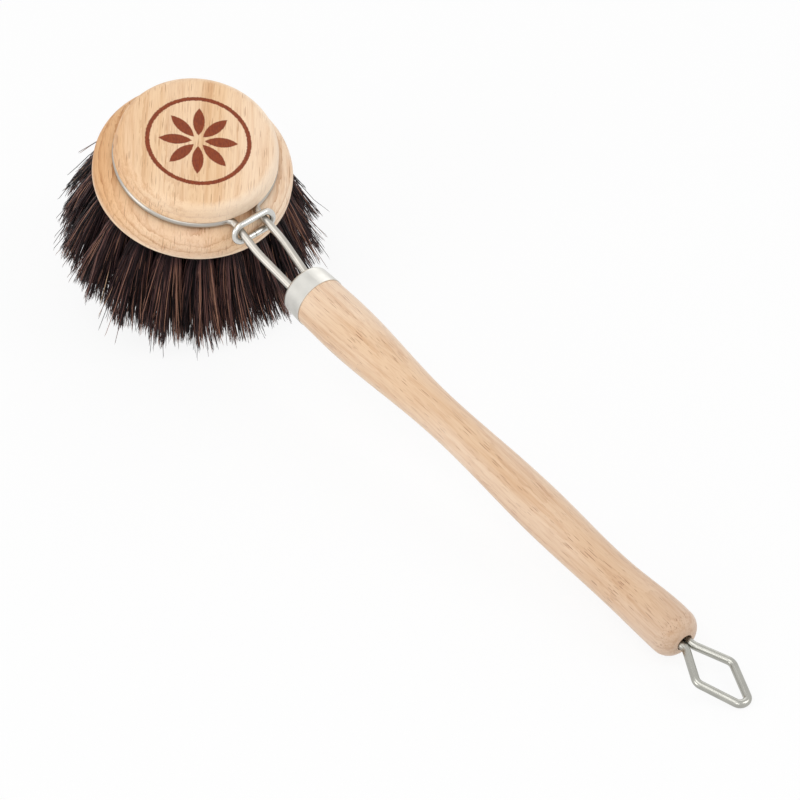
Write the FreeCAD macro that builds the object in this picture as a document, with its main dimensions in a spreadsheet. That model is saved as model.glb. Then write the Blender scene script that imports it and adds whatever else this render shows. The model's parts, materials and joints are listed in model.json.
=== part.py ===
import FreeCAD, Part
import math
import os
import re

import Sketcher
from FreeCAD import Placement, Rotation, Vector

# Dish brush: a beech handle, a spring-wire clamp with its sliding ring, and a round head of
# beech with tufts of hair that swivels in the clamp. Millimetres and degrees.
#
# Every piece is first laid out in the frame of the head: Z is the axis on which the head turns,
# the bored face lies at zero height, and the handle leaves towards +X. The whole brush is then
# tipped until it lies on a table, on the tips of two tufts and on the end of its hanging loop.

doc = FreeCAD.newDocument("dish_brush")

ROUND = 360

# Driving sizes
SIZES = {
    # Turned head block: bored disc below, wire groove, cap above
    "head_radius": 25.0,
    "disc_height": 6.8,
    "rim_round": 0.5,
    "shoulder_round": 4.3,
    "groove_width": 2.4,
    "groove_round_share": 0.45,
    "cap_inset": 5.1,
    "cap_flare": 0.7,
    "cap_height": 6.0,
    "cap_edge_round": 2.8,
    "cap_lip_round": 0.4,
    # Tuft holes, and the rings in which they are drilled
    "hole_diameter": 4.0,
    "hole_depth": 5.2,
    "rim_margin": 4.7,
    "outer_row_splay": 15.5,
    "outer_row_count": 18,
    "middle_row_share": 0.66,
    "middle_row_splay": 10.0,
    "middle_row_count": 12,
    "inner_row_share": 0.33,
    "inner_row_splay": 5.0,
    "inner_row_count": 6,
    # Tufts of hair and the flat wire anchors that hold them
    "tuft_clearance": 0.1,
    "tuft_length": 28.5,
    "tuft_gap": 0.45,
    "tuft_uncut_share": 1.3,
    "anchor_bite": 0.6,
    "anchor_height": 1.6,
    "anchor_thickness": 0.35,
    "anchor_seat": 1.2,
    "anchor_clearance": 0.05,
    # Spring wire: loop in the groove, outward bend, two prongs into the handle
    "wire_diameter": 2.0,
    "wire_proud": 0.1,
    "swivel_clearance": 0.1,
    "loop_bend_radius": 2.2,
    "prong_root_spacing": 7.1,
    "prong_bow_spacing": 7.6,
    "prong_bow_share": 0.38,
    "prong_end_spacing": 5.0,
    "prong_lead": 1.2,
    "prong_lead_bend": 14.0,
    "prong_bow_bend": 40.0,
    "prong_entry_bend": 9.0,
    "prong_grip": 24.0,
    # Sliding ring on the prongs
    "ring_wire_diameter": 1.65,
    "ring_height": 4.75,
    "ring_straight": 6.8,
    "ring_seam": 0.2,
    "ring_lean": 24.0,
    "ring_station": 1.78,
    # Handle, from the front of the ferrule to the tail
    "handle_gap": 19.9,
    "handle_drop": 0.6,
    "handle_pitch": 12.4,
    "handle_length": 140.0,
    "handle_recess": 2.6,
    "handle_front_diameter": 13.4,
    "handle_swell_diameter": 13.7,
    "handle_waist_diameter": 10.3,
    "handle_grip_diameter": 11.7,
    "handle_neck_diameter": 11.0,
    "handle_tail_diameter": 12.0,
    "handle_tail_length": 5.0,
    "handle_tail_round": 4.2,
    "handle_sway": 0.9,
    "bore_clearance": 0.05,
    # Ferrule
    "ferrule_front_diameter": 13.2,
    "ferrule_back_diameter": 13.8,
    "ferrule_length": 6.4,
    "ferrule_wall": 0.45,
    "ferrule_round": 1.1,
    "ferrule_mouth_margin": 1.1,
    # Hanging loop
    "hanger_length": 20.4,
    "hanger_width": 10.9,
    "hanger_tip_width": 2.6,
    "hanger_neck": 1.6,
    "hanger_grip": 18.0,
    "hanger_neck_bend": 3.4,
    "hanger_side_bend": 2.4,
    "hanger_tip_bend": 1.8,
    "hanger_turn": -6.0,
    "hanger_droop": 3.0,
    # One overrun for every cut that passes a surface
    "overrun": 1.0,
}

sheet = doc.addObject("Spreadsheet::Sheet", "Sizes")
for row, (name, number) in enumerate(SIZES.items(), start=1):
    sheet.set(f"A{row}", name)
    sheet.set(f"B{row}", str(number))
    sheet.setAlias(f"B{row}", name)
doc.recompute()

# Worked-out sizes, each written once in terms of the driving sizes
FORMULAS = {
    "wire_radius": "wire_diameter / 2",
    "cap_radius": "head_radius - cap_inset",
    "lip_radius": "cap_radius + cap_flare",
    "loop_radius": "lip_radius + wire_proud - wire_radius",
    "groove_floor": "loop_radius - wire_radius - swivel_clearance",
    "groove_top": "disc_height + groove_width",
    "groove_plane": "disc_height + groove_width / 2",
    "head_height": "groove_top + cap_height",
    "outer_row_radius": "head_radius - rim_margin",
    "middle_row_radius": "outer_row_radius * middle_row_share",
    "inner_row_radius": "outer_row_radius * inner_row_share",
    "outer_tip_circle": "outer_row_radius + tuft_length * tan(outer_row_splay)",
    "middle_tip_circle": "middle_row_radius + tuft_length * tan(middle_row_splay)",
    "inner_tip_circle": "inner_row_radius + tuft_length * tan(inner_row_splay)",
    "tip_spacing": "min(2 * outer_tip_circle * sin(180 / outer_row_count);"
                   " 2 * middle_tip_circle * sin(180 / middle_row_count);"
                   " 2 * inner_tip_circle * sin(180 / inner_row_count);"
                   " outer_tip_circle - middle_tip_circle;"
                   " middle_tip_circle - inner_tip_circle; inner_tip_circle)",
    "tuft_root_radius": "hole_diameter / 2 - tuft_clearance",
    "tuft_tip_radius": "(tip_spacing - tuft_gap) / 2",
    "tuft_root_length": "hole_depth - tuft_clearance",
    "bend_y": "prong_root_spacing / 2 + loop_bend_radius",
    "bend_x": "sqrt((loop_radius + loop_bend_radius) ^ 2 - bend_y ^ 2)",
    "ring_radius": "ring_height / 2",
    "handle_reach": "head_radius + handle_gap",
    "handle_level": "groove_plane - handle_drop",
    "tail_start": "handle_length - handle_tail_length",
    "hanger_leg": "wire_radius + bore_clearance",
    "hanger_bore_radius": "2 * hanger_leg + bore_clearance",
    "ferrule_mouth_radius": "(prong_end_spacing + wire_diameter) / 2 + ferrule_mouth_margin",
    "ferrule_taper": "(ferrule_back_diameter - ferrule_front_diameter) / 2 / ferrule_length",
    "tenon_front_radius": "ferrule_front_diameter / 2 - ferrule_wall - bore_clearance"
                          " + ferrule_taper * handle_recess",
    "tenon_back_radius": "ferrule_back_diameter / 2 - ferrule_wall - bore_clearance",
    "anchor_length": "hole_diameter + 2 * anchor_bite",
    "anchor_depth": "hole_depth - anchor_seat - anchor_height",
    "anchor_slot_length": "anchor_length + 2 * anchor_clearance",
    "anchor_slot_height": "anchor_height + 2 * anchor_clearance",
    "anchor_slot_thickness": "anchor_thickness + 2 * anchor_clearance",
    "anchor_slot_depth": "anchor_depth - anchor_clearance",
}


def formula(text):
    """Writes a sum of named sizes as an expression on the cells of the sheet."""
    def cell(match):
        word = match.group()
        if word in FORMULAS:
            return f"({formula(FORMULAS[word])})"
        return f"Sizes.{word}" if word in SIZES else word
    return re.sub(r"[a-z_]+", cell, text)


def size(text):
    """The value of a named size, or of a sum of them."""
    return float(sheet.evalExpression(formula(text)))


def bind(feature, **formulas):
    """Ties properties of a feature to the sheet; a double underscore stands for a dot."""
    for name, text in formulas.items():
        feature.setExpression(name.replace("__", "."), formula(text))


def origin_feature(body, role):
    return next(f for f in body.Origin.OriginFeatures if f.Role == role)


def new_body(label):
    body = doc.addObject("PartDesign::Body", label)
    body.Label = label
    return body


def sketch_on(body, name, role):
    """An empty sketch on one of the body's own origin planes."""
    sketch = body.newObject("Sketcher::SketchObject", name)
    sketch.AttachmentSupport = [(origin_feature(body, role), "")]
    sketch.MapMode = "FlatFace"
    return sketch


def fix(sketch, kind, formula_text, *where):
    """One dimension of a sketch, tied to the sheet unless it is zero."""
    place = sketch.addConstraint(Sketcher.Constraint(kind, *where, size(formula_text)))
    if formula_text != "0":
        sketch.setExpression(f"Constraints[{place}]", formula(formula_text))


def draw_outline(sketch, corners):
    """A closed outline of straight sides through corners given as pairs of named sizes."""
    points = [Vector(size(across), size(up), 0) for across, up in corners]
    count = len(points)
    for index, point in enumerate(points):
        sketch.addGeometry(Part.LineSegment(point, points[(index + 1) % count]))
    for index, (across, up) in enumerate(corners):
        sketch.addConstraint(Sketcher.Constraint("Coincident", index, 2, (index + 1) % count, 1))
        fix(sketch, "DistanceX", across, -1, 1, index, 1)
        fix(sketch, "DistanceY", up, -1, 1, index, 1)


def draw_circle(sketch, radius, up="0"):
    """A circle on the upright axis of a sketch."""
    circle = Part.Circle(Vector(0, size(up), 0), Vector(0, 0, 1), size(radius))
    sketch.addGeometry(circle)
    fix(sketch, "DistanceX", "0", -1, 1, 0, 3)
    fix(sketch, "DistanceY", up, -1, 1, 0, 3)
    fix(sketch, "Radius", radius, 0)


def turn(body, name, corners, role="XZ_Plane", axis="V_Axis"):
    """A turned solid: an outline spun about an axis of its sketch."""
    sketch = sketch_on(body, f"{name}_outline", role)
    draw_outline(sketch, corners)
    revolution = body.newObject("PartDesign::Revolution", name)
    revolution.Profile = sketch
    revolution.ReferenceAxis = (sketch, [axis])
    revolution.Angle = ROUND
    doc.recompute()
    return revolution


def round_edges(body, name, radius, near):
    """Rounds the round edges of the body that a test on their centre and radius picks."""
    base = body.Tip
    names = []
    for number, edge in enumerate(base.Shape.Edges, start=1):
        if edge.isClosed() and near(edge.CenterOfMass, edge.Length / (2 * math.pi)):
            names.append(f"Edge{number}")
    fillet = body.newObject("PartDesign::Fillet", name)
    fillet.Base = (base, names)
    bind(fillet, Radius=radius)
    doc.recompute()


def tilted(feature, angle, x, z, y="0"):
    """Places a primitive in the XZ plane, turned about Y by a named angle."""
    feature.Placement = Placement(Vector(), Rotation(Vector(0, 1, 0), 1))
    bind(feature, Placement__Rotation__Angle=angle, Placement__Base__x=x, Placement__Base__z=z)
    bind(feature, Placement__Base__y=y)


def same(first, second):
    return math.isclose(first, second, abs_tol=Part.Precision.approximation())


# The four rings of tufts: number in the ring, distance from the axis, splay from upright
ROWS = {
    "outer": ("outer_row_count", "outer_row_radius", "outer_row_splay"),
    "middle": ("middle_row_count", "middle_row_radius", "middle_row_splay"),
    "inner": ("inner_row_count", "inner_row_radius", "inner_row_splay"),
    "centre": ("1", "0", "0"),
}

def row_numbers(row):
    count, radius, splay = ROWS[row]
    return round(size(count)), size(radius), size(splay)


def head_block():
    """Beech, turned in one piece, then drilled from below with splayed blind holes."""
    body = new_body("head_block")
    turn(body, "turned_block", [
        ("0", "0"),
        ("head_radius", "0"),
        ("head_radius", "disc_height"),
        ("groove_floor", "disc_height"),
        ("groove_floor", "groove_top"),
        ("lip_radius", "groove_top"),
        ("cap_radius", "head_height"),
        ("0", "head_height"),
    ])

    def edge_at(radius, height):
        return lambda centre, found: same(found, size(radius)) and same(centre.z, size(height))

    round_edges(body, "shoulder", "shoulder_round", edge_at("head_radius", "disc_height"))
    round_edges(body, "rim", "rim_round", edge_at("head_radius", "0"))
    round_edges(body, "cap_edge", "cap_edge_round", edge_at("cap_radius", "head_height"))
    round_edges(body, "cap_lip", "cap_lip_round", edge_at("lip_radius", "groove_top"))
    floor = size("groove_floor")
    round_edges(body, "groove_floor", "groove_round_share * groove_width",
                lambda centre, found: same(found, floor))

    def all_round(cut, count):
        doc.recompute()
        ring = body.newObject("PartDesign::PolarPattern", f"{cut.Name}_ring")
        ring.Originals = [cut]
        ring.Axis = (origin_feature(body, "Z_Axis"), [""])
        ring.Angle = ROUND
        bind(ring, Occurrences=count)
        body.Tip = ring
        doc.recompute()

    for row, (count, radius, splay) in ROWS.items():
        hole = body.newObject("PartDesign::SubtractiveCylinder", f"{row}_hole")
        bind(hole, Radius="hole_diameter / 2", Height="hole_depth + overrun")
        tilted(hole, f"0 - {splay}", f"{radius} + overrun * sin({splay})",
               f"0 - overrun * cos({splay})")
        all_round(hole, count)
        slot = body.newObject("PartDesign::SubtractiveBox", f"{row}_anchor_slot")
        bind(slot, Length="anchor_slot_thickness", Width="anchor_slot_length",
             Height="anchor_slot_height")
        half = "anchor_slot_thickness / 2"
        tilted(slot, f"0 - {splay}",
               f"{radius} - anchor_slot_depth * sin({splay}) - {half} * cos({splay})",
               f"anchor_slot_depth * cos({splay}) - {half} * sin({splay})",
               "0 - anchor_slot_length / 2")
        all_round(slot, count)
    return body


def in_hole(row, index):
    """Where hole number index of a ring is: its mouth at zero, its axis pointing into the wood."""
    count, radius, splay = row_numbers(row)
    around = Rotation(Vector(0, 0, 1), ROUND * index / count)
    mouth = Placement(Vector(radius, 0, 0), Rotation(Vector(0, 1, 0), -splay))
    return Placement(Vector(), around).multiply(mouth)


def tuft(row, index):
    """A bundle of hair: folded root in its hole, and a flare, trimmed level at the tips."""
    splay = ROWS[row][2]
    body = new_body(f"tuft_{row}_{index + 1:02d}")
    turn(body, "bundle", [
        ("0", "tuft_root_length"),
        ("tuft_root_radius", "tuft_root_length"),
        ("tuft_root_radius", "0"),
        ("tuft_root_radius + (tuft_tip_radius - tuft_root_radius) * tuft_uncut_share",
         "0 - tuft_length * tuft_uncut_share"),
        ("0", "0 - tuft_length * tuft_uncut_share"),
    ])
    trim = body.newObject("PartDesign::SubtractiveBox", "trim")
    bind(trim, Length="2 * tuft_length", Width="2 * tuft_length", Height="tuft_length")
    tilted(trim, splay,
           f"0 - tuft_length * cos({splay}) - 2 * tuft_length * sin({splay})",
           f"tuft_length * sin({splay}) - 2 * tuft_length * cos({splay})",
           "0 - tuft_length")
    slot = body.newObject("PartDesign::SubtractiveBox", "anchor_slot")
    bind(slot, Length="anchor_slot_thickness", Width="anchor_slot_length",
         Height="anchor_slot_height")
    bind(slot, Placement__Base__x="0 - anchor_slot_thickness / 2",
         Placement__Base__y="0 - anchor_slot_length / 2", Placement__Base__z="anchor_slot_depth")
    body.Placement = in_hole(row, index)
    return body


def anchors(row):
    """Flat wire staples of one ring, one in each hole, across the hole and into the wood."""
    plates = []
    for index in range(row_numbers(row)[0]):
        plate = doc.addObject("Part::Box", f"anchor_plate_{row}_{index + 1:02d}")
        bind(plate, Length="anchor_thickness", Width="anchor_length", Height="anchor_height")
        corner = Vector(-size("anchor_thickness") / 2, -size("anchor_length") / 2, size("anchor_depth"))
        plate.Placement = in_hole(row, index).multiply(Placement(corner, Rotation()))
        plates.append(plate)
    group = doc.addObject("Part::Compound", f"anchors_{row}")
    group.Label = f"anchors_{row}"
    group.Links = plates
    return group


def rounded_run(points, radii):
    """Straight runs through points, joined by tangent arcs of the given radii."""
    edges = []
    start = points[0]
    for before, corner, after, radius in zip(points, points[1:], points[2:], radii):
        back = (before - corner).normalize()
        onward = (after - corner).normalize()
        half_turn = (math.pi - back.getAngle(onward)) / 2
        first = corner + back * (radius * math.tan(half_turn))
        last = corner + onward * (radius * math.tan(half_turn))
        inward = (back + onward).normalize()
        middle = corner + inward * (radius / math.cos(half_turn) - radius)
        edges.append(Part.LineSegment(start, first).toShape())
        edges.append(Part.Arc(first, middle, last).toShape())
        start = last
    edges.append(Part.LineSegment(start, points[-1]).toShape())
    return edges


def handle_place():
    """The handle's own frame: X from the front of the ferrule to the tail, Z up."""
    front = Vector(size("handle_reach"), 0, size("handle_level"))
    return Placement(front, Rotation(Vector(0, 1, 0), -size("handle_pitch")))


def prong_start():
    """Middle between the prongs, where they leave the plane of the groove."""
    return Vector(size("bend_x + prong_lead"), 0, size("groove_plane"))


def prong_direction():
    return (handle_place().Base - prong_start()).normalize()


def clamp_wire_path():
    """From the bore of one prong, round the groove of the head, to the bore of the other."""
    plane = size("groove_plane")
    loop = size("loop_radius")
    bend = size("loop_bend_radius")
    centre = Vector(size("bend_x"), size("bend_y"), plane)
    root = centre - Vector(0, bend, 0)
    axis = Vector(0, 0, plane)
    leave = axis + (centre - axis).normalize() * loop
    bend_middle = centre + ((root - centre) + (leave - centre)).normalize() * bend

    handle = handle_place()
    end_y = size("prong_end_spacing / 2")
    bow = prong_start() + (handle.Base - prong_start()) * size("prong_bow_share")
    prong = [
        handle.multVec(Vector(size("handle_recess + prong_grip"), end_y, 0)),
        handle.multVec(Vector(0, end_y, 0)),
        bow + Vector(0, size("prong_bow_spacing / 2"), 0),
        prong_start() + Vector(0, size("prong_root_spacing / 2"), 0),
        root,
    ]
    radii = [size("prong_entry_bend"), size("prong_bow_bend"), size("prong_lead_bend")]

    def mirrored(point):
        return Vector(point.x, -point.y, point.z)

    edges = rounded_run(prong, radii)
    edges.append(Part.Arc(root, bend_middle, leave).toShape())
    edges.append(Part.Arc(leave, axis - Vector(loop, 0, 0), mirrored(leave)).toShape())
    edges.append(Part.Arc(mirrored(leave), mirrored(bend_middle), mirrored(root)).toShape())
    edges += rounded_run([mirrored(point) for point in reversed(prong)], radii[::-1])
    return Part.Wire(edges)


def hanging_loop_path():
    """A diamond of wire with its two legs side by side in the tail bore."""
    tail = size("handle_length")
    leg = size("hanger_leg")
    length = size("hanger_length")
    droop = math.tan(math.radians(size("hanger_droop")))
    half = [
        Vector(tail - size("hanger_grip"), leg, 0),
        Vector(tail + size("hanger_neck"), leg, 0),
        Vector(tail + length / 2, size("hanger_width / 2"), -droop * length / 2),
        Vector(tail + length, size("hanger_tip_width / 2"), -droop * length),
    ]
    radii = [size("hanger_neck_bend"), size("hanger_side_bend"), size("hanger_tip_bend")]
    points = half + [Vector(point.x, -point.y, point.z) for point in reversed(half)]
    path = Part.Wire(rounded_run(points, radii + radii[::-1]))
    turned = Rotation(Vector(1, 0, 0), size("hanger_turn"))
    path.Placement = handle_place().multiply(Placement(Vector(0, 0, size("handle_sway")), turned))
    return path


def wire_piece(label, path, place):
    """Round wire along a path: its path, its section at the start, and the sweep of the two."""
    spine = doc.addObject("Part::Feature", f"{label}_path")
    spine.Shape = path
    spine.Placement = place.multiply(path.Placement)
    first = spine.Shape.Edges[0]
    section = doc.addObject("Part::Circle", f"{label}_section")
    bind(section, Radius="wire_radius")
    along = first.tangentAt(first.FirstParameter)
    start = first.valueAt(first.FirstParameter)
    section.Placement = Placement(start, Rotation(Vector(0, 0, 1), along))
    sweep = doc.addObject("Part::Sweep", label)
    sweep.Label = label
    sweep.Sections = [section]
    sweep.Spine = (spine, [f"Edge{number + 1}" for number in range(len(spine.Shape.Edges))])
    sweep.Solid = True
    sweep.Frenet = False
    return sweep


def clamp_ring():
    """Oval ring of wire with its butt seam in the lower bar, leaning on the shoulder of the head."""
    body = new_body("clamp_ring")
    bend = size("ring_radius")
    side = size("ring_straight / 2")
    seam = size("ring_seam / 2")
    left = Part.Circle(Vector(-side, 0, 0), Vector(0, 0, 1), bend)
    right = Part.Circle(Vector(side, 0, 0), Vector(0, 0, 1), bend)
    path = sketch_on(body, "ring_path", "YZ_Plane")
    path.addGeometry([
        Part.LineSegment(Vector(seam, -bend, 0), Vector(side, -bend, 0)),
        Part.ArcOfCircle(right, -math.pi / 2, math.pi / 2),
        Part.LineSegment(Vector(side, bend, 0), Vector(-side, bend, 0)),
        Part.ArcOfCircle(left, math.pi / 2, -math.pi / 2),
        Part.LineSegment(Vector(-side, -bend, 0), Vector(-seam, -bend, 0)),
    ])
    path.addConstraint([
        Sketcher.Constraint("Tangent", 0, 2, 1, 1),
        Sketcher.Constraint("Tangent", 1, 2, 2, 1),
        Sketcher.Constraint("Tangent", 2, 2, 3, 1),
        Sketcher.Constraint("Tangent", 3, 2, 4, 1),
        Sketcher.Constraint("Horizontal", 0),
    ])
    fix(path, "DistanceX", "ring_straight / 2", -1, 1, 1, 3)
    fix(path, "DistanceY", "0", -1, 1, 1, 3)
    fix(path, "DistanceX", "0 - ring_straight / 2", -1, 1, 3, 3)
    fix(path, "Radius", "ring_radius", 1)
    fix(path, "DistanceX", "ring_seam / 2", -1, 1, 0, 1)
    fix(path, "DistanceX", "0 - ring_seam / 2", -1, 1, 4, 2)
    section = sketch_on(body, "ring_section", "XZ_Plane")
    draw_circle(section, "ring_wire_diameter / 2", "0 - ring_radius")
    bind(section, AttachmentOffset__Base__z="0 - ring_seam / 2")
    pipe = body.newObject("PartDesign::AdditivePipe", "ring_wire")
    pipe.Profile = section
    pipe.Spine = (path, [f"Edge{number + 1}" for number in range(path.GeometryCount)])
    centre = prong_start() + prong_direction() * size("ring_station")
    pitch = math.degrees(math.atan2(prong_direction().z, prong_direction().x))
    body.Placement = Placement(centre, Rotation(Vector(0, 1, 0), -pitch - size("ring_lean")))
    return body


# Sections of the handle between ferrule and tail: place along it, diameter, share of the sway
HANDLE_SHARES = (
    (0.0, "handle_front_diameter", 0.0),
    (0.08, "handle_swell_diameter", 0.0),
    (0.32, "handle_waist_diameter", 0.1),
    (0.45, "handle_waist_diameter", 0.6),
    (0.66, "handle_grip_diameter", 0.2),
    (0.87, "handle_neck_diameter", 0.1),
    (0.97, "handle_tail_diameter", 1.0),
    (1.0, "handle_tail_diameter", 1.0),
)


def handle():
    """Shaped beech stick with a tapered tenon, two bores for the prongs and a tail bore."""
    body = new_body("handle")
    tail = body.newObject("PartDesign::AdditiveCylinder", "tail")
    bind(tail, Radius="handle_tail_diameter / 2", Height="handle_tail_length")
    tilted(tail, "90", "tail_start", "handle_sway")
    doc.recompute()
    end = size("handle_length")
    round_edges(body, "tail_end", "handle_tail_round", lambda centre, found: same(centre.x, end))
    sections = []
    for place, diameter, sway in HANDLE_SHARES:
        section = sketch_on(body, f"section_{len(sections) + 1}", "YZ_Plane")
        draw_circle(section, f"({diameter}) / 2", f"handle_sway * {sway}")
        along = f"ferrule_length + (tail_start - ferrule_length) * {place}"
        bind(section, AttachmentOffset__Base__z=along)
        sections.append(section)
    stick = body.newObject("PartDesign::AdditiveLoft", "stick")
    stick.Profile = sections[0]
    stick.Sections = sections[1:]
    stick.Ruled = False
    tenon = body.newObject("PartDesign::AdditiveCone", "tenon")
    bind(tenon, Radius1="tenon_front_radius", Radius2="tenon_back_radius",
         Height="ferrule_length - handle_recess")
    tilted(tenon, "90", "handle_recess", "0")
    for side in ("", "0 - "):
        bore = body.newObject("PartDesign::SubtractiveCylinder", "prong_bore")
        bind(bore, Radius="wire_radius + bore_clearance",
             Height="prong_grip + bore_clearance + overrun")
        tilted(bore, "90", "handle_recess - overrun", "0", f"{side}prong_end_spacing / 2")
    bore = body.newObject("PartDesign::SubtractiveCylinder", "tail_bore")
    bind(bore, Radius="hanger_bore_radius", Height="hanger_grip + bore_clearance + overrun")
    tilted(bore, "90", "handle_length - hanger_grip - bore_clearance", "handle_sway")
    body.Placement = handle_place()
    return body


def ferrule():
    """Pressed-steel cap on the tenon: a tapered tube with its front edge turned in to a lip."""
    body = new_body("ferrule")
    turn(body, "pressed_cap", [
        ("0", "ferrule_mouth_radius"),
        ("0", "ferrule_front_diameter / 2"),
        ("ferrule_length", "ferrule_back_diameter / 2"),
        ("ferrule_length", "ferrule_back_diameter / 2 - ferrule_wall"),
        ("ferrule_wall", "ferrule_front_diameter / 2 - ferrule_wall + ferrule_taper * ferrule_wall"),
        ("ferrule_wall", "ferrule_mouth_radius"),
    ], axis="H_Axis")
    outside = size("ferrule_front_diameter / 2")
    inside = size("ferrule_front_diameter / 2 - ferrule_wall + ferrule_taper * ferrule_wall")
    wall = size("ferrule_wall")
    round_edges(body, "front_edge", "ferrule_round",
                lambda centre, found: same(found, outside) and same(centre.x, 0))
    round_edges(body, "inner_front_edge", "ferrule_round - ferrule_wall",
                lambda centre, found: same(found, inside) and same(centre.x, wall))
    body.Placement = handle_place()
    return body


def lay_down(tufts, stick, hanger_path):
    """Tips the brush until its tufts and its tail end or hanging loop touch the table, centred there."""
    wire = size("wire_radius")

    def box(shape, angle):
        turned = shape.copy()
        turned.Placement = Placement(Vector(), Rotation(Vector(0, 1, 0), angle)).multiply(shape.Placement)
        return turned.optimalBoundingBox()

    def tip_height(angle):
        return min(box(shape, angle).ZMin for shape in tufts)

    def tail_height(angle):
        return min(box(stick, angle).ZMin, box(hanger_path, angle).ZMin - wire)

    level, steep = 0, ROUND / 4
    while steep - level > Part.Precision.approximation():
        middle = (level + steep) / 2
        if tail_height(middle) > tip_height(middle):
            level = middle
        else:
            steep = middle
    front = min(box(shape, level).XMin for shape in tufts)
    back = box(hanger_path, level).XMax + wire
    shift = Vector(-(front + back) / 2, 0, -tip_height(level))
    return Placement(shift, Rotation(Vector(0, 1, 0), level))


# Pieces of the head, turned by half a step so that it rests on two tufts of the outer ring
head = [head_block()]
tufts = []
for row in ROWS:
    tufts += [tuft(row, index) for index in range(row_numbers(row)[0])]
head += tufts
head += [anchors(row) for row in ROWS]
half_step = Placement(Vector(), Rotation(Vector(0, 0, 1), ROUND / row_numbers("outer")[0] / 2))
doc.recompute()
for piece in head:
    piece.Placement = half_step.multiply(piece.Placement)

# Pieces of the handle, and the ring on its prongs
stick = handle()
doc.recompute()
rest = lay_down([piece.Shape for piece in tufts], stick.Shape, hanging_loop_path())
pieces = head + [stick, ferrule(), clamp_ring()]
for piece in pieces:
    piece.Placement = rest.multiply(piece.Placement)
pieces.append(wire_piece("clamp_wire", clamp_wire_path(), rest))
pieces.append(wire_piece("hanging_loop", hanging_loop_path(), rest))
doc.recompute()

# Nothing is written unless every feature and every piece is sound
for thing in doc.Objects:
    if "Invalid" in thing.State or "Error" in thing.State:
        raise RuntimeError(f"{thing.Label} failed: {thing.State}")
for piece in pieces:
    if piece.Shape.isNull() or not piece.Shape.isValid() or not piece.Shape.Solids:
        raise RuntimeError(f"{piece.Label} has no sound solid")

os.makedirs("parts", exist_ok=True)
for piece in pieces:
    piece.Shape.exportStep(f"parts/{piece.Label}.step")

# The angle at which the brush lies, the axis of its head and the run of its ring
ring_centre = prong_start() + prong_direction() * size("ring_station")
print("tipped by", math.degrees(rest.Rotation.Angle), "degrees, head face at", rest.Base)
print("head axis through", rest.multVec(Vector(0, 0, size("groove_plane"))))
print("along", rest.Rotation.multVec(Vector(0, 0, 1)))
print("ring centre", rest.multVec(ring_centre))
print("slides along", rest.Rotation.multVec(prong_direction()))
print("cap top", rest.multVec(Vector(0, 0, size("head_height"))))
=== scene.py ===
import json
import math
import random

import bmesh
import bpy
from mathutils import Matrix, Vector


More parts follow.
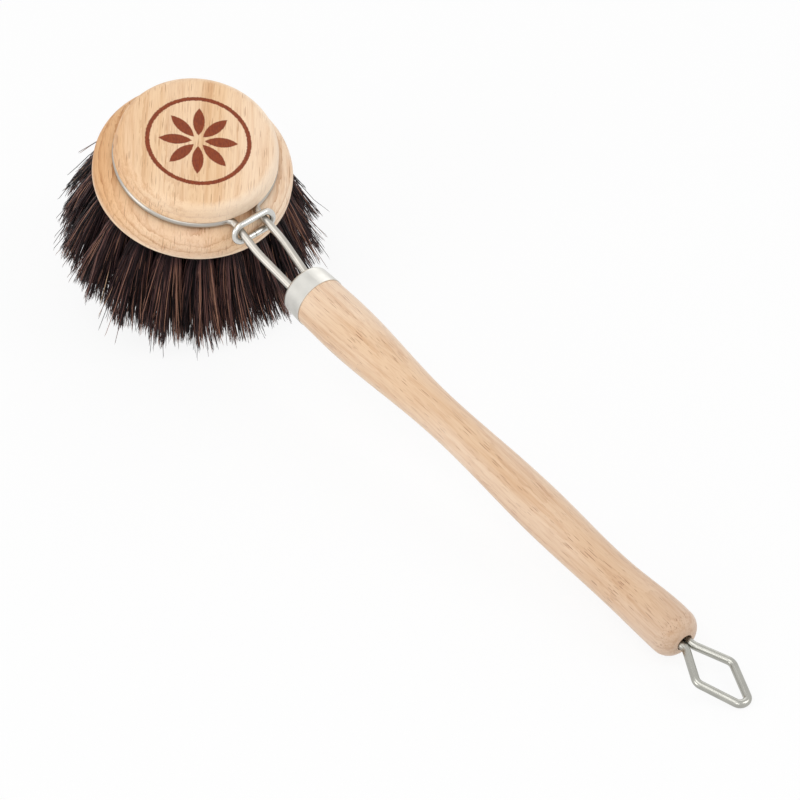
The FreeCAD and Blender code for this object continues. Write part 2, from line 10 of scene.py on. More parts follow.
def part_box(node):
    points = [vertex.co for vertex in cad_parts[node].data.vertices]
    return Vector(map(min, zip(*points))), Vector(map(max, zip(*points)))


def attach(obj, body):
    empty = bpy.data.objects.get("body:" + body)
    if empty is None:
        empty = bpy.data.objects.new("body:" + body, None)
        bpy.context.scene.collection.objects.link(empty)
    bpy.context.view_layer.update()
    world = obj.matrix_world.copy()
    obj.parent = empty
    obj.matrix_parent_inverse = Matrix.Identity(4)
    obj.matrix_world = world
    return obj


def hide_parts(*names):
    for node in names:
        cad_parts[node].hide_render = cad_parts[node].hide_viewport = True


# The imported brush. Its nodes, bodies and joints give the places of all that follows,
# in metres, with the brush lying on a floor at zero height.
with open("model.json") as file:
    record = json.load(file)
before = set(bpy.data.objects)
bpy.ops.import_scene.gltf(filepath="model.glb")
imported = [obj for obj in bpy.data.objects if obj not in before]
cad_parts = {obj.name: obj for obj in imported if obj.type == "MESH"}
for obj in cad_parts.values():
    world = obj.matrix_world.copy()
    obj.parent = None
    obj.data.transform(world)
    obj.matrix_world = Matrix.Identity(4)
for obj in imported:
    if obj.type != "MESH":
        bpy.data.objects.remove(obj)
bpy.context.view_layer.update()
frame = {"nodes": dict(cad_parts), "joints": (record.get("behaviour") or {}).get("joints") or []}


# The handle: one turned stick of steamed beech, sanded and oiled, bored at both ends.
# It is flat-sawn, so its upper side shows short dark ray flecks that lie along the grain,
# over soft bands where the stick cuts through the growth rings.
class Tone:
    """A socket among a material's nodes. Sums, products and powers of tones add Math nodes."""

    def __init__(self, tree, socket=None):
        self.tree = tree
        self.socket = socket

    def node(self, kind, settings, inputs, output=0):
        """Adds a node: its settings first, then the values or links of its sockets."""
        made = self.tree.nodes.new(kind)
        for name, value in settings.items():
            if name == "stops":
                while len(made.color_ramp.elements) < len(value):
                    made.color_ramp.elements.new(1.0)
                for element, (place, shade) in zip(made.color_ramp.elements, value):
                    element.position = place
                    element.color = shade
            else:
                setattr(made, name, value)
        for name, value in inputs.items():
            if isinstance(value, Tone):
                self.tree.links.new(value.socket, made.inputs[name])
            else:
                made.inputs[name].default_value = value
        return Tone(self.tree, made.outputs[output])

    def beside(self, output):
        """Another output of the node that this tone comes from."""
        return Tone(self.tree, self.socket.node.outputs[output])

    def maths(self, operation, *others):
        """A Math node whose first value is this tone."""
        return self.node("ShaderNodeMath", {"operation": operation}, dict(enumerate((self, *others))))

    def __add__(self, other):
        return self.maths("ADD", other)

    __radd__ = __add__

    def __sub__(self, other):
        return self.maths("SUBTRACT", other)

    def __rsub__(self, other):
        return self.node("ShaderNodeMath", {"operation": "SUBTRACT"}, {0: other, 1: self})

    def __mul__(self, other):
        return self.maths("MULTIPLY", other)

    __rmul__ = __mul__

    def __truediv__(self, other):
        return self.maths("DIVIDE", other)

    def __pow__(self, other):
        return self.maths("POWER", other)

    def fade(self, low, high):
        """0 below low and 1 above high, with a smooth change between them."""
        ends = {"Value": self, "From Min": low, "From Max": high}
        return self.node("ShaderNodeMapRange", {"interpolation_type": "SMOOTHSTEP"}, ends)

    def mixed(self, first, second):
        """A colour that goes from first to second as this tone goes from 0 to 1."""
        return self.node("ShaderNodeMix", {"data_type": "RGBA"}, {0: self, 6: first, 7: second}, 2)

    def parts(self):
        """The three numbers of a place."""
        along = self.node("ShaderNodeSeparateXYZ", {}, {0: self})
        return along, along.beside("Y"), along.beside("Z")

    def times(self, shares):
        """A place or a colour whose three numbers are each multiplied by a share of their own."""
        return self.node("ShaderNodeVectorMath", {"operation": "MULTIPLY"}, {0: self, 1: shares})

    def noise(self, rates, detail=2.0):
        """Noise from 0 to 1 over a place, with how often it changes in each of three directions."""
        inputs = {"Vector": self.times(rates), "Scale": 1.0, "Detail": detail}
        return self.node("ShaderNodeTexNoise", {}, inputs)


def colour(red, green, blue):
    """An sRGB colour, with parts from 0 to 255, as a colour socket takes it."""
    parts = [part / 255 for part in (red, green, blue)]
    return (*[p / 12.92 if p < 0.04045 else ((p + 0.055) / 1.055) ** 2.4 for p in parts], 1.0)


def finish_for(name):
    """A new material with its shader, and the object's own coordinates to paint on."""
    material = bpy.data.materials.new(name)
    material.use_nodes = True
    tree = material.node_tree
    shader = tree.nodes["Principled BSDF"]
    place = Tone(tree).node("ShaderNodeTexCoord", {}, {}, "Object")
    return material, shader, place


def feed(shader, **tones):
    """Links tones to the shader's sockets, which are named with _ for a space."""
    for name, tone in tones.items():
        tone.tree.links.new(tone.socket, shader.inputs[name.replace("_", " ")])


def centre_of(node):
    low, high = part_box(node)
    return (low + high) / 2


MM_PER_M = 1000.0


def turned(place, first, third, origin):
    """Millimetres from origin along first, along the way square to both, and along third."""
    turn = Matrix((first, third.cross(first), third))
    inputs = {"Vector": place, "Location": turn @ origin * -MM_PER_M, "Rotation": turn.to_euler()}
    return place.node("ShaderNodeMapping", {}, {**inputs, "Scale": (MM_PER_M, MM_PER_M, MM_PER_M)})


PITH_DEPTH_MM = 55.0
RING_WIDTH_MM = 2.0
RING_WAVE_MM = 3.0
RING_TEETH_MM = 0.8
LATE_WOOD_POWER = 5.0
FIBRE_SWAY_MM = 2.4
RAY_LENGTH_MM = 5.6
RAY_WIDTH_MM = 0.24
RAY_REACH = 0.34
RAY_EDGE = (-0.03, 0.05)
SPARSE_RAYS = 0.6
CROWDED_RAYS = 0.6
FAINTEST_RAY = 0.35

# How often the grain changes in a millimetre: along the fibres, across them and out from the pith
SWAY_RATES = (0.03, 0.06, 0.06)
WAVE_RATES = (0.02, 0.09, 0.16)
TEETH_RATES = (0.3, 1.5, 1.5)
CLEAR_RING_RATES = (0.06, 0.16, 0.16)
CROWD_RATES = (0.05, 0.25, 0.25)
FIBRE_RATES = (0.16, 4.2, 4.2)
STREAK_RATES = (0.025, 0.9, 0.9)
PATCH_RATES = (0.025, 0.12, 0.12)

# The shares of red, green and blue that each mark leaves of the wood's colour, and how much it covers
STREAK_TINT = (0.85, 0.74, 0.64)
STREAK_DEPTH = 0.7
LATE_WOOD_TINT = (0.65, 0.47, 0.34)
FIBRE_TINT = (0.76, 0.62, 0.54)
FIBRE_DEPTH = 0.45
RAY_TINT = (0.42, 0.24, 0.16)
RAY_DEPTH = 0.78
FIBRE_RELIEF = 0.6


def beech(wood, pale, deep, ring_depth, ray_height_mm):
    """The shade and the relief of beech, over places with X along the grain and Z away from the pith."""
    along, across, out = wood.parts()
    across = across + (wood.noise(SWAY_RATES, 1.0) - 0.5) * FIBRE_SWAY_MM
    fibres = wood.node("ShaderNodeCombineXYZ", {}, {0: along, 1: across, 2: out})
    wave = fibres.noise(WAVE_RATES) * RING_WAVE_MM
    teeth = fibres.noise(TEETH_RATES, 1.0) * RING_TEETH_MM
    from_pith = out + PITH_DEPTH_MM
    rings = ((across * across + from_pith * from_pith) ** 0.5 + wave + teeth) / RING_WIDTH_MM
    clear_rings = fibres.noise(CLEAR_RING_RATES, 1.0).fade(0.2, 0.6)
    late_wood = rings.maths("FRACT") ** LATE_WOOD_POWER * clear_rings

    crowd = fibres.noise(CROWD_RATES).fade(0.3, 0.7)
    ray_rates = (1 / RAY_LENGTH_MM, 1 / RAY_WIDTH_MM, 1 / ray_height_mm)
    cells = {"Vector": fibres.times(ray_rates), "Scale": 1.0}
    from_ray = fibres.node("ShaderNodeTexVoronoi", {}, cells)
    luck = fibres.node("ShaderNodeSeparateColor", {}, {0: from_ray.beside("Color")})
    reach = luck * (crowd * CROWDED_RAYS + SPARSE_RAYS) * RAY_REACH
    ray = 1 - (from_ray - reach).fade(*RAY_EDGE)
    ray = ray * (luck.beside("Green") * (1 - FAINTEST_RAY) + FAINTEST_RAY)

    fibre = fibres.noise(FIBRE_RATES, 3.0)
    streak = fibres.noise(STREAK_RATES, 3.0)
    patch = fibres.noise(PATCH_RATES, 1.0)
    shade = patch.fade(0.35, 0.65).mixed(pale, deep)
    shade = (streak.fade(0.45, 0.7) * STREAK_DEPTH).mixed(shade, shade.times(STREAK_TINT))
    shade = (late_wood * ring_depth).mixed(shade, shade.times(LATE_WOOD_TINT))
    shade = (fibre.fade(0.42, 0.75) * FIBRE_DEPTH).mixed(shade, shade.times(FIBRE_TINT))
    shade = (ray * RAY_DEPTH).mixed(shade, shade.times(RAY_TINT))
    return shade, fibre * FIBRE_RELIEF - ray


WOOD_DULLNESS = 0.5
WOOD_DULLNESS_CHANGE = 0.12
GRAIN_HEIGHT = 0.00005


def wood_grain(shader, shade, relief, gloss):
    """Sanded wood: dull, and a little rough along its fibres."""
    feed(shader, Base_Color=shade, Roughness=relief * WOOD_DULLNESS_CHANGE + WOOD_DULLNESS)
    bump = {"Height": relief, "Strength": 0.3, "Distance": GRAIN_HEIGHT}
    feed(shader, Normal=relief.node("ShaderNodeBump", {}, bump))
    shader.inputs["Specular IOR Level"].default_value = gloss


def paint(node, material):
    """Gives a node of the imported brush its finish."""
    materials = frame["nodes"][node].data.materials
    materials.clear()
    materials.append(material)


# The stick is painted darker from the ferrule's side to the tail, a painted shade for the light that falls
# off along the handle, and the tail's end is greyest.
TAIL_SHADE_MM = (-45.0, 70.0)
TAIL_SHADE_DEPTH = 0.4
TAIL_SHADE_BROWN = colour(196, 158, 124)
TAIL_END_MM = (52.0, 70.0)
TAIL_END_DEPTH = 0.25
TAIL_END_GREY = colour(190, 172, 160)
stick_way = (centre_of("handle") - centre_of("ferrule")).normalized()
stick_up = stick_way.cross(Vector((0, -1, 0)))
stick_beech, stick_shader, stick_place = finish_for("stick_beech")
stick_wood = turned(stick_place, stick_way, stick_up, centre_of("handle"))
stick_along = stick_wood.parts()[0]


def shaded_towards_tail(unshaded):
    """The colour of the stick, with painted shade towards the tail, where the unshaded wood has this one.
    """
    tail_shaded = (stick_along.fade(*TAIL_SHADE_MM) * TAIL_SHADE_DEPTH).mixed(unshaded, TAIL_SHADE_BROWN)
    return (stick_along.fade(*TAIL_END_MM) * TAIL_END_DEPTH).mixed(tail_shaded, TAIL_END_GREY)


# Both wood colours of the stick get the painted shade towards the tail.
stick_pale = shaded_towards_tail(colour(239, 211, 182))
stick_deep = shaded_towards_tail(colour(231, 197, 161))
stick_shade, stick_relief = beech(stick_wood, stick_pale, stick_deep, ring_depth=0.32, ray_height_mm=0.34)
wood_grain(stick_shader, stick_shade, stick_relief, gloss=0.5)
stick_shader.inputs["Sheen Weight"].default_value = 0.45
paint("handle", stick_beech)


# The ferrule: a cap of thin steel sheet, deep-drawn, nickel-plated and pressed on the front of the handle.
# Its side keeps faint lines of the drawing, round the stick, under a satin shine.
CLOUDS_PER_M = 260.0
SPECKS_PER_M = 5200.0
DRAWN_LINE_RATES = (6.0, 0.02, 0.02)
CLOUD_SHADE = 0.88
CLOUD_DULLING = 0.12
LINE_DULLING = 0.1
LINE_RELIEF = 0.7
SPECK_RELIEF = 0.3
SCRATCH_HEIGHT = 0.00003


def steel(name, shade, dull, lines_on=None):
    """Bright steel that is a little cloudy, with fine lines where lines_on gives their coordinates."""
    material, shader, place = finish_for(name)
    cloud = place.noise((CLOUDS_PER_M, CLOUDS_PER_M, CLOUDS_PER_M))
    speck = place.noise((SPECKS_PER_M, SPECKS_PER_M, SPECKS_PER_M), 1.0)
    lines = speck
    if lines_on:
        lines = lines_on(place).noise(DRAWN_LINE_RATES)
    clouded = (*[part * CLOUD_SHADE for part in shade[:3]], 1.0)
    feed(shader, Base_Color=cloud.fade(0.3, 0.75).mixed(shade, clouded))
    least_dull = dull - (CLOUD_DULLING + LINE_DULLING) / 2
    feed(shader, Roughness=cloud * CLOUD_DULLING + lines * LINE_DULLING + least_dull)
    relief = lines * LINE_RELIEF + speck * SPECK_RELIEF
    bump = {"Height": relief, "Strength": 0.12, "Distance": SCRATCH_HEIGHT}
    feed(shader, Normal=place.node("ShaderNodeBump", {}, bump))
    shader.inputs["Metallic"].default_value = 1.0
    return material


def round_the_stick(place):
    return turned(place, stick_way, stick_up, centre_of("ferrule"))


paint("ferrule", steel("ferrule_satin", colour(212, 210, 204), dull=0.38, lines_on=round_the_stick))


# The clamp wire: one spring-steel wire, bent to an open loop that holds the head by its groove.
# Its two prongs run through the clamp ring and end in bores in the front of the handle.
paint("clamp_wire", steel("spring_wire_satin", colour(184, 179, 171), dull=0.32))


# The hanging loop: a diamond bent from one piece of steel wire, to hang the brush on a hook.
# Its two ends lie side by side in the tail bore of the handle, which holds them by friction.
paint("hanging_loop", steel("hanger_wire_satin", colour(176, 175, 168), dull=0.26))


# The clamp ring: a short wire bent to an oval round both prongs, its ends butted together below.
# It slides along the prongs, and near the head it holds the loop shut.
paint("clamp_ring", steel("ring_wire_bright", colour(216, 215, 210), dull=0.24))


# The head: turned from one flat-sawn beech board, a bored disc with a groove and a cap above it.
# The grain runs across the cap. A burned ornament, a ring round eight leaves, decorates the top.
ACROSS_THE_GRAIN = Vector((0.618, 0.780, -0.096))
swivel = next(joint for joint in frame["joints"] if joint["name"] == "head_swivel")
head_axis = Vector(swivel["axis"])
head_pivot = Vector(swivel["pos_m"])
head_grain = head_axis.cross(ACROSS_THE_GRAIN).normalized()


def height(point):
    """How far a point lies above the swivel's centre, along the head's axis."""
    return (point - head_pivot).dot(head_axis)


head_heights = [height(vertex.co) for vertex in frame["nodes"]["head_block"].data.vertices]
cap_top_mm = max(head_heights) * MM_PER_M
LEAVES = 8
LEAF_LENGTH_MM = 8.2
LEAF_START_MM = 1.6
LEAF_BULGE_MM = 1.45
BURNED_RING_MM = 12.6
BURNED_LINE_MM = 0.55
BURN_EDGE_MM = 0.12
BURN_ROUGHNESS_MM = 0.5
BURN_ROUGHNESS_PER_MM = 2.2
LEAF_ROUGHNESS_SHARE = 0.5
BURN_BELOW_TOP_MM = (1.2, 1.0)


def burned_ornament(wood):
    """1 where the iron has burned the cap: a ring, and leaves set round its centre."""
    along, across, up = wood.parts()
    rates = (BURN_ROUGHNESS_PER_MM, BURN_ROUGHNESS_PER_MM, BURN_ROUGHNESS_PER_MM)
    rough_edge = (wood.noise(rates) - 0.5) * BURN_ROUGHNESS_MM
    radius = (along * along + across * across) ** 0.5
    ring = (radius - BURNED_RING_MM).maths("ABSOLUTE") + rough_edge
    in_ring = 1 - ring.fade(BURNED_LINE_MM - BURN_EDGE_MM, BURNED_LINE_MM + BURN_EDGE_MM)

    step = 2 * math.pi / LEAVES
    angle = across.maths("ARCTAN2", along)
    from_leaf = (angle + step / 2).maths("FLOORED_MODULO", step) - step / 2
    leaf_along = radius * from_leaf.maths("COSINE") - (LEAF_START_MM + LEAF_LENGTH_MM / 2)
    leaf_across = (radius * from_leaf.maths("SINE")).maths("ABSOLUTE")
    bow = ((LEAF_LENGTH_MM / 2) ** 2 + LEAF_BULGE_MM ** 2) / (2 * LEAF_BULGE_MM)
    aside = leaf_across + (bow - LEAF_BULGE_MM)
    leaf = (leaf_along * leaf_along + aside * aside) ** 0.5 + rough_edge * LEAF_ROUGHNESS_SHARE
    in_leaf = 1 - leaf.fade(bow - BURN_EDGE_MM, bow + BURN_EDGE_MM)
    on_top = up.fade(*[cap_top_mm - below for below in BURN_BELOW_TOP_MM])
    return in_ring.maths("MAXIMUM", in_leaf) * on_top


# Where the board's colour changes, in millimetres: down from the groove, across the grain and out
BELOW_GROOVE_MM = (-2.0, 1.0)
ABOVE_GROOVE_MM = (1.0, 2.0)
CAP_EDGE_MM = (17.8, 19.6)
WARM_SHADE_SIDE_MM = (8.0, 24.0)
LIT_SIDE_MM = (6.0, 22.0)
CLEAR_RINGS_MM = (-6.0, 0.0)
RIM_PAINTED_SHADE_START_MM = (-20.0, 0.0)
RIM_PAINTED_SHADE_END_MM = (2.0, 14.0)
CAP_HIGHLIGHT_SIDE_MM = (-16.0, 16.0)
RIM_HIGHLIGHT_MM = (5.6, 7.4)

# How far it changes there, where 1 is the whole way
WARM_SHADE_SHARE = 0.3
WARM_SHADE_ADDED_ON_DISC = 0.35
WARM_SHADE_ADDED_ON_CAP_EDGE = 0.3
PAINTED_LIGHT_SHARE = 0.85
RING_DEPTH = 0.35
RING_DEPTH_ADDED_ON_DISC = 0.55
RIM_PAINTED_SHADE_DEPTH = 0.2
CAP_HIGHLIGHT_DEPTH = 0.6
RIM_HIGHLIGHT_DEPTH = 0.45
head_beech, head_shader, head_place = finish_for("head_beech")
head_board = turned(head_place, head_grain, -head_axis, head_pivot)
board_along, board_side, board_depth = head_board.parts()
board_radius = (board_along * board_along + board_side * board_side) ** 0.5
on_disc = board_depth.fade(*BELOW_GROOVE_MM)
cap_edge = board_radius.fade(*CAP_EDGE_MM) * (0 - board_depth).fade(*ABOVE_GROOVE_MM)
# A warm painted shade on one side of the board, for light thrown back between cap and disc, strongest on
# the disc and the cap's edge.
warm_shade_amount = on_disc * WARM_SHADE_ADDED_ON_DISC + cap_edge * WARM_SHADE_ADDED_ON_CAP_EDGE + WARM_SHADE_SHARE
warm_shade_edge = (0 - board_side).fade(*WARM_SHADE_SIDE_MM) * warm_shade_amount
# Painted light makes the other side of the board paler.
painted_light_edge = board_side.fade(*LIT_SIDE_MM) * PAINTED_LIGHT_SHARE


def across_the_board(middle, pale, warm_shaded):
    """The colour of the board's middle, with painted light towards the pale edge and a warm painted shade
    towards the other.
    """
    return warm_shade_edge.mixed(painted_light_edge.mixed(middle, pale), warm_shaded)


head_pale = across_the_board(
    middle=colour(245, 213, 177), pale=colour(252, 229, 203), warm_shaded=colour(226, 170, 110))
head_deep = across_the_board(
    middle=colour(240, 204, 163), pale=colour(249, 222, 193), warm_shaded=colour(220, 162, 102))
head_rings = board_depth.fade(*CLEAR_RINGS_MM) * RING_DEPTH_ADDED_ON_DISC + RING_DEPTH
head_shade, head_relief = beech(head_board, head_pale, head_deep, head_rings, ray_height_mm=4.0)
# A painted shade darkens a band of the disc's rim across the middle of the board.
rim_painted_shade = board_side.fade(*RIM_PAINTED_SHADE_START_MM) * (1 - board_side.fade(*RIM_PAINTED_SHADE_END_MM))
head_shade = (on_disc * rim_painted_shade * RIM_PAINTED_SHADE_DEPTH).mixed(head_shade, colour(200, 164, 148))
# Painted highlights make the cap's rounded edge and the disc's lower rim paler.
cap_edge_highlight = cap_edge * board_side.fade(*CAP_HIGHLIGHT_SIDE_MM) * CAP_HIGHLIGHT_DEPTH
rim_edge_highlight = board_depth.fade(*RIM_HIGHLIGHT_MM) * RIM_HIGHLIGHT_DEPTH
head_shade = (cap_edge_highlight + rim_edge_highlight).mixed(head_shade, colour(255, 236, 213))

BURN_PATCH_RATES = (1.2, 3.0, 3.0)
BURN_COVER = 0.97
BURN_SUNK = 1.5
head_top = turned(head_place, head_grain, head_axis, head_pivot)
burn = burned_ornament(head_top)
burn_depth = head_top.noise(BURN_PATCH_RATES).fade(0.3, 0.7)
burn_brown = burn_depth.mixed(colour(117, 37, 2), colour(137, 54, 8))
head_shade = (burn * BURN_COVER).mixed(head_shade, burn_brown)
wood_grain(head_shader, head_shade, head_relief - burn * BURN_SUNK, gloss=0.3)
paint("head_block", head_beech)


# The anchors: short flat wires driven across the bottom of every tuft hole.
# They hold the folded hair, and hardly show once the holes are full.
anchor_steel = steel("anchor_wire_dull", colour(176, 172, 164), dull=0.45)
for anchors in ("anchors_outer", "anchors_middle", "anchors_inner", "anchors_centre"):
    paint(anchors, anchor_steel)


# The tufts: bundles of dark natural hair, folded round an anchor in each hole and trimmed level.
# Each hair is a separate thin strand. Hairs cling together in locks, stand unevenly at the tips,
# and all of them lean a little to one side from being wiped across dishes.
HAIR_SHADES = [
    (0.0, colour(6, 3, 4)),
    (0.3, colour(26, 16, 19)),
    (0.55, colour(60, 40, 41)),
    (0.78, colour(106, 74, 69)),
    (0.93, colour(156, 112, 94)),
    (0.998, colour(176, 132, 110)),
    (1.0, colour(230, 200, 160)),
]
HAIR_PATCHES_PER_M = 900.0
HAIR_DULLNESS = 0.3
HAIR_DULLNESS_CHANGE = 0.2
hair_dark, hair_shader, hair_place = finish_for("hair_dark")
# The tone attribute holds each hair's own tone, darkened by a painted shade towards the hole.
strand = hair_place.node("ShaderNodeAttribute", {"attribute_name": "tone"}, {}, "Fac")
feed(hair_shader, Base_Color=strand.node("ShaderNodeValToRGB", {"stops": HAIR_SHADES}, {0: strand}))
dry = hair_place.noise((HAIR_PATCHES_PER_M, HAIR_PATCHES_PER_M, HAIR_PATCHES_PER_M), 1.0)
feed(hair_shader, Roughness=dry * HAIR_DULLNESS_CHANGE + HAIR_DULLNESS)
hair_shader.inputs["Specular IOR Level"].default_value = 0.15

# How a hair runs, from its hole (0) to its trimmed tip (1), and how thick it is at each place
HAIRS_IN_TUFT = 520
HAIR_RADIUS = 0.0001
HAIR_SHARES = (0.34, 0.56, 0.8, 0.97, 1.0)
TAPER_SHARES = (0.02, 1.0, 1.0, 1.0, 0.9, 0.6, 0.02)
STRAND_SIDES = 4
POLE_REACH = 0.000005
HOLE_FILL_SHARE = 0.92
TIP_SPREAD_SHARE = 1.32
GATHER_POWER = 1.4
FLARE_POWER = 0.75
HAIR_WAVE = 0.0003
UNEVEN_TIP = 0.0008
LEAN_WAY = Vector((0.565, 0.780, -0.231))
LEAN_REACH = 0.0024
FLOOR_CLEARANCE = 0.0003

# How hairs gather in locks, and how some of them stray
LOCKS_IN_TUFT = 24
LOCK_PULL_SHARE = 0.55
UNEVEN_LOCK = 0.0006
OWN_PLACE_SHARE = 0.17
STRAY_SHARE = 0.09
STRAY_SPREAD_SHARE = 1.25
STRAY_PLACE_SHARE = 0.3
STRAY_LENGTH_SHARE = 0.07

# How light a hair is: some are like their lock, and all get a painted shade near the hole
LIKE_LOCK_SHARE = 0.35
LOCK_TONE_SCATTER = 0.15
LOCK_TONE_LIMIT = 0.99
ROOT_SHADE_SHARE = 0.4
ROOT_SHADE_RISE = 2.4

# How much of a tuft's depth in its hole still counts as the end of the tuft, at its root and its tips
ROOT_END_SHARE = 1 / 3
TIP_END_SHARE = 1 / 30
face_height = min(head_heights)
hair_luck = random.Random(37)


def mean(points):
    return sum(points, Vector()) / len(points)


def bundle_of(node):
    """The middle and radius of a tuft, at the bottom of its hole and at its tips."""
    places = [vertex.co.copy() for vertex in frame["nodes"][node].data.vertices]
    heights = [height(place) for place in places]
    top, low = max(heights), min(heights)
    root_level = top - (top - face_height) * ROOT_END_SHARE
    tip_level = low + (top - face_height) * TIP_END_SHARE
    root_ring = [place for place, level in zip(places, heights) if level > root_level]
    tip_ring = [place for place, level in zip(places, heights) if level < tip_level]
    root, tip = mean(root_ring), mean(tip_ring)
    root_radius = max((place - root).length for place in root_ring)
    tip_radius = max((place - tip).length for place in tip_ring)
    return root, tip, root_radius, tip_radius


def in_disc():
    """A random place in a round section, evenly spread, as two shares of its radius."""
    reach = math.sqrt(hair_luck.random())
    angle = hair_luck.uniform(0, 2 * math.pi)
    return Vector((reach * math.cos(angle), reach * math.sin(angle)))


def new_lock():
    """A lock of hair: its place in the tuft's section, how far it stands out, and its tone."""
    return in_disc(), hair_luck.gauss(0, UNEVEN_LOCK), hair_luck.random()


def habit_of_hair(own, locks, tuft_length):
    """Where a hair goes in the tuft's section, its length as a share of the tuft's, and its tone."""
    lock, lock_length, lock_tone = min(locks, key=lambda lock: (lock[0] - own).length)
    spread = own.lerp(lock, LOCK_PULL_SHARE) + in_disc() * OWN_PLACE_SHARE
    length = 1 + (lock_length + hair_luck.gauss(0, UNEVEN_TIP)) / tuft_length
    if hair_luck.random() < STRAY_SHARE:
        spread = spread * STRAY_SPREAD_SHARE + in_disc() * STRAY_PLACE_SHARE
        length = length + hair_luck.uniform(0, STRAY_LENGTH_SHARE)
    tone = hair_luck.random()
    if hair_luck.random() < LIKE_LOCK_SHARE:
        tone = min(LOCK_TONE_LIMIT, max(0.0, hair_luck.gauss(lock_tone, LOCK_TONE_SCATTER)))
    return spread, length, tone


def hair_tuft(node):
    """Strands for one tuft, as a mesh of thin tapering hairs."""
    root, tip, root_radius, tip_radius = bundle_of(node)
    mouth_share = (height(root) - face_height) / (height(root) - height(tip))
    held_radius = root_radius * HOLE_FILL_SHARE
    spread_radius = tip_radius * TIP_SPREAD_SHARE
    side = (tip - root).normalized().orthogonal().normalized()
    other_side = (tip - root).normalized().cross(side)
    strands = bpy.data.curves.new(node, "CURVE")
    strands.dimensions = "3D"
    strands.bevel_depth = HAIR_RADIUS
    strands.bevel_resolution = 0
    locks = [new_lock() for _ in range(LOCKS_IN_TUFT)]
    tones = []
    for _ in range(HAIRS_IN_TUFT):
        own = in_disc()
        spread, length, tone = habit_of_hair(own, locks, (tip - root).length)
        hair = []
        for share in (0.0, mouth_share, *HAIR_SHARES):
            open_share = max(0.0, (share - mouth_share) / (1 - mouth_share))
            inside = own.lerp(spread, open_share ** GATHER_POWER)
            radius = held_radius + (spread_radius - held_radius) * open_share ** FLARE_POWER
            place = root.lerp(tip, share * length) + (side * inside.x + other_side * inside.y) * radius
            place = place + LEAN_WAY * LEAN_REACH * open_share ** 2
            if 0 < open_share < 1:
                place = place + (side * in_disc().x + other_side * in_disc().y) * HAIR_WAVE
            place.z = max(place.z, FLOOR_CLEARANCE)
            hair.append(place)
            # Each point gets the hair's tone, with a painted shade that darkens it towards the hole.
            tones += [tone * min(1.0, ROOT_SHADE_SHARE + ROOT_SHADE_RISE * open_share)] * STRAND_SIDES
        spline = strands.splines.new("POLY")
        spline.points.add(len(hair) - 1)
        for point, place, taper in zip(spline.points, hair, TAPER_SHARES):
            point.co = (*place, 1.0)
            point.radius = taper
    drawn = bpy.data.objects.new("strands", strands)
    mesh = bpy.data.meshes.new_from_object(drawn)
    bpy.data.objects.remove(drawn)
    mesh.attributes.new("tone", "FLOAT", "POINT").data.foreach_set("value", tones)
    closed = bmesh.new()
    closed.from_mesh(mesh)
    bmesh.ops.remove_doubles(closed, verts=closed.verts, dist=POLE_REACH)
    closed.to_mesh(mesh)
    closed.free()
    return mesh


for node in sorted(name for name in frame["nodes"] if name.startswith("tuft_")):
    tuft = bpy.data.objects.new(node.replace("tuft", "hair"), hair_tuft(node))
    tuft.data.materials.clear()
    tuft.data.materials.append(hair_dark)
    bpy.context.scene.collection.objects.link(tuft)
    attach(tuft, "head")
    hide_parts(node)


# The studio: a pale floor that runs out of sight, even light all round, and five soft boxes.
# The camera stands where the photograph was taken from, with a long lens.
FLOOR_SIZE = 30.0
FLOOR_WHITE = 0.88
WHITE = (1.0, 1.0, 1.0, 1.0)
floor_mesh = bmesh.new()
bmesh.ops.create_grid(floor_mesh, x_segments=1, y_segments=1, size=FLOOR_SIZE / 2)
floor = bpy.data.objects.new("floor", bpy.data.meshes.new("floor"))
floor_mesh.to_mesh(floor.data)
floor_mesh.free()
bpy.context.scene.collection.objects.link(floor)


def seen_directly(tree):
    """1 for what the camera sees, by itself or in metal or glass, and 0 for what only lights the brush."""
    camera_ray = Tone(tree).node("ShaderNodeLightPath", {}, {}, "Is Camera Ray")
    return camera_ray + camera_ray.beside("Is Glossy Ray") + camera_ray.beside("Is Transmission Ray")


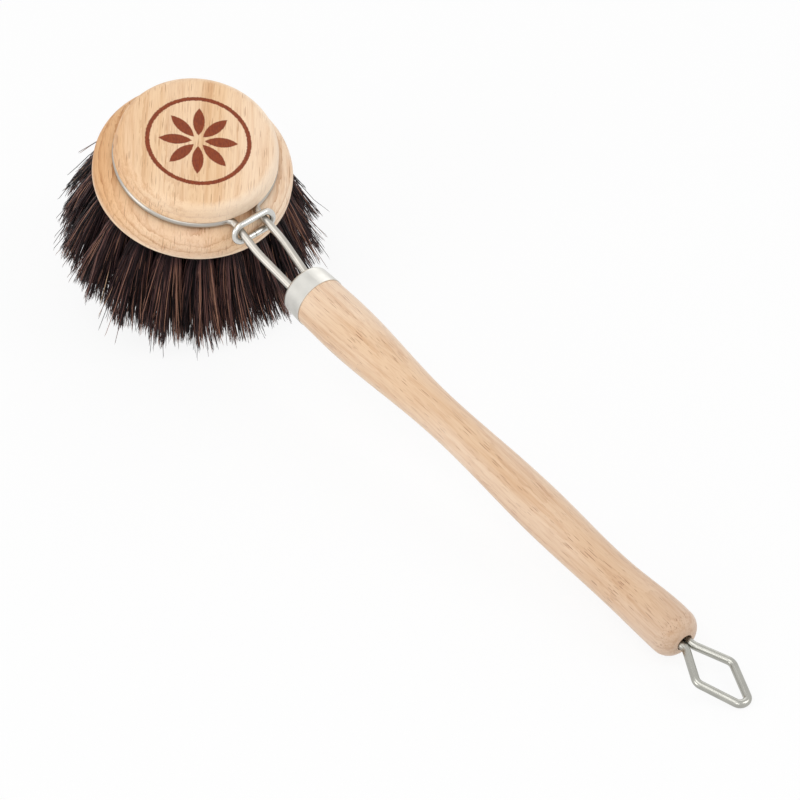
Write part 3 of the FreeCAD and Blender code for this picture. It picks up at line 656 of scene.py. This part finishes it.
floor_paint, floor_shader, floor_place = finish_for("floor_paint")
floor_shader.inputs["Base Color"].default_value = colour(246, 246, 246)
floor_shader.inputs["Roughness"].default_value = 0.9
floor_shader.inputs["Specular IOR Level"].default_value = 0.0
plain = Tone(floor_place.tree, floor_shader.outputs[0])
white = plain.node("ShaderNodeEmission", {}, {"Color": WHITE, "Strength": 1.0})
whitened = seen_directly(floor_place.tree) * FLOOR_WHITE
feed(floor_place.tree.nodes["Material Output"],
     Surface=plain.node("ShaderNodeMixShader", {}, {0: whitened, 1: plain, 2: white}))
floor.data.materials.append(floor_paint)

ROOM_LIGHT = 0.55
room = bpy.data.worlds.new("room")
bpy.context.scene.world = room
room.use_nodes = True
backdrop = room.node_tree.nodes["Background"]
backdrop.inputs["Color"].default_value = WHITE
feed(backdrop, Strength=seen_directly(room.node_tree) * (1 - ROOM_LIGHT) + ROOM_LIGHT)


def soft_box(name, place, size, power):
    """A square lamp that points at the middle of the brush."""
    lamp = bpy.data.lights.new(name, "AREA")
    lamp.size = size
    lamp.energy = power
    holder = bpy.data.objects.new(name, lamp)
    holder.location = place
    holder.rotation_euler = Vector(place).to_track_quat("Z", "Y").to_euler()
    bpy.context.scene.collection.objects.link(holder)


soft_box("top_box", place=(0.05, -0.35, 1.20), size=0.8, power=3.0)
soft_box("key_box", place=(1.15, 0.95, 1.05), size=0.9, power=6.1)
soft_box("front_box", place=(1.00, -0.80, 1.08), size=0.8, power=3.9)
soft_box("fill_box", place=(-0.20, -1.30, 0.50), size=0.7, power=3.6)
soft_box("edge_box", place=(-0.85, 0.95, 0.60), size=0.9, power=2.2)

CAMERA_AIM = Vector((-0.00134, 0.0, 0.01435))
CAMERA_DISTANCE = 0.9655
CAMERA_AZIMUTH = math.radians(56.38)
CAMERA_ELEVATION = math.radians(40.78)
CAMERA_ROLL = math.radians(-7.27)
CAMERA_LENS_MM = 180.9
CAMERA_SENSOR_MM = 36.0
camera = bpy.data.objects.new("camera", bpy.data.cameras.new("camera"))
camera.data.sensor_width = CAMERA_SENSOR_MM
camera.data.lens = CAMERA_LENS_MM
tipped = Matrix.Rotation(math.pi / 2 - CAMERA_ELEVATION, 4, "X")
facing = Matrix.Rotation(CAMERA_AZIMUTH, 4, "Z") @ tipped
standing = facing @ Matrix.Rotation(CAMERA_ROLL, 4, "Z")
standing.translation = CAMERA_AIM + facing.col[2].to_3d() * CAMERA_DISTANCE
camera.matrix_world = standing
bpy.context.scene.collection.objects.link(camera)
bpy.context.scene.camera = camera
bpy.context.scene.view_settings.view_transform = "Standard"
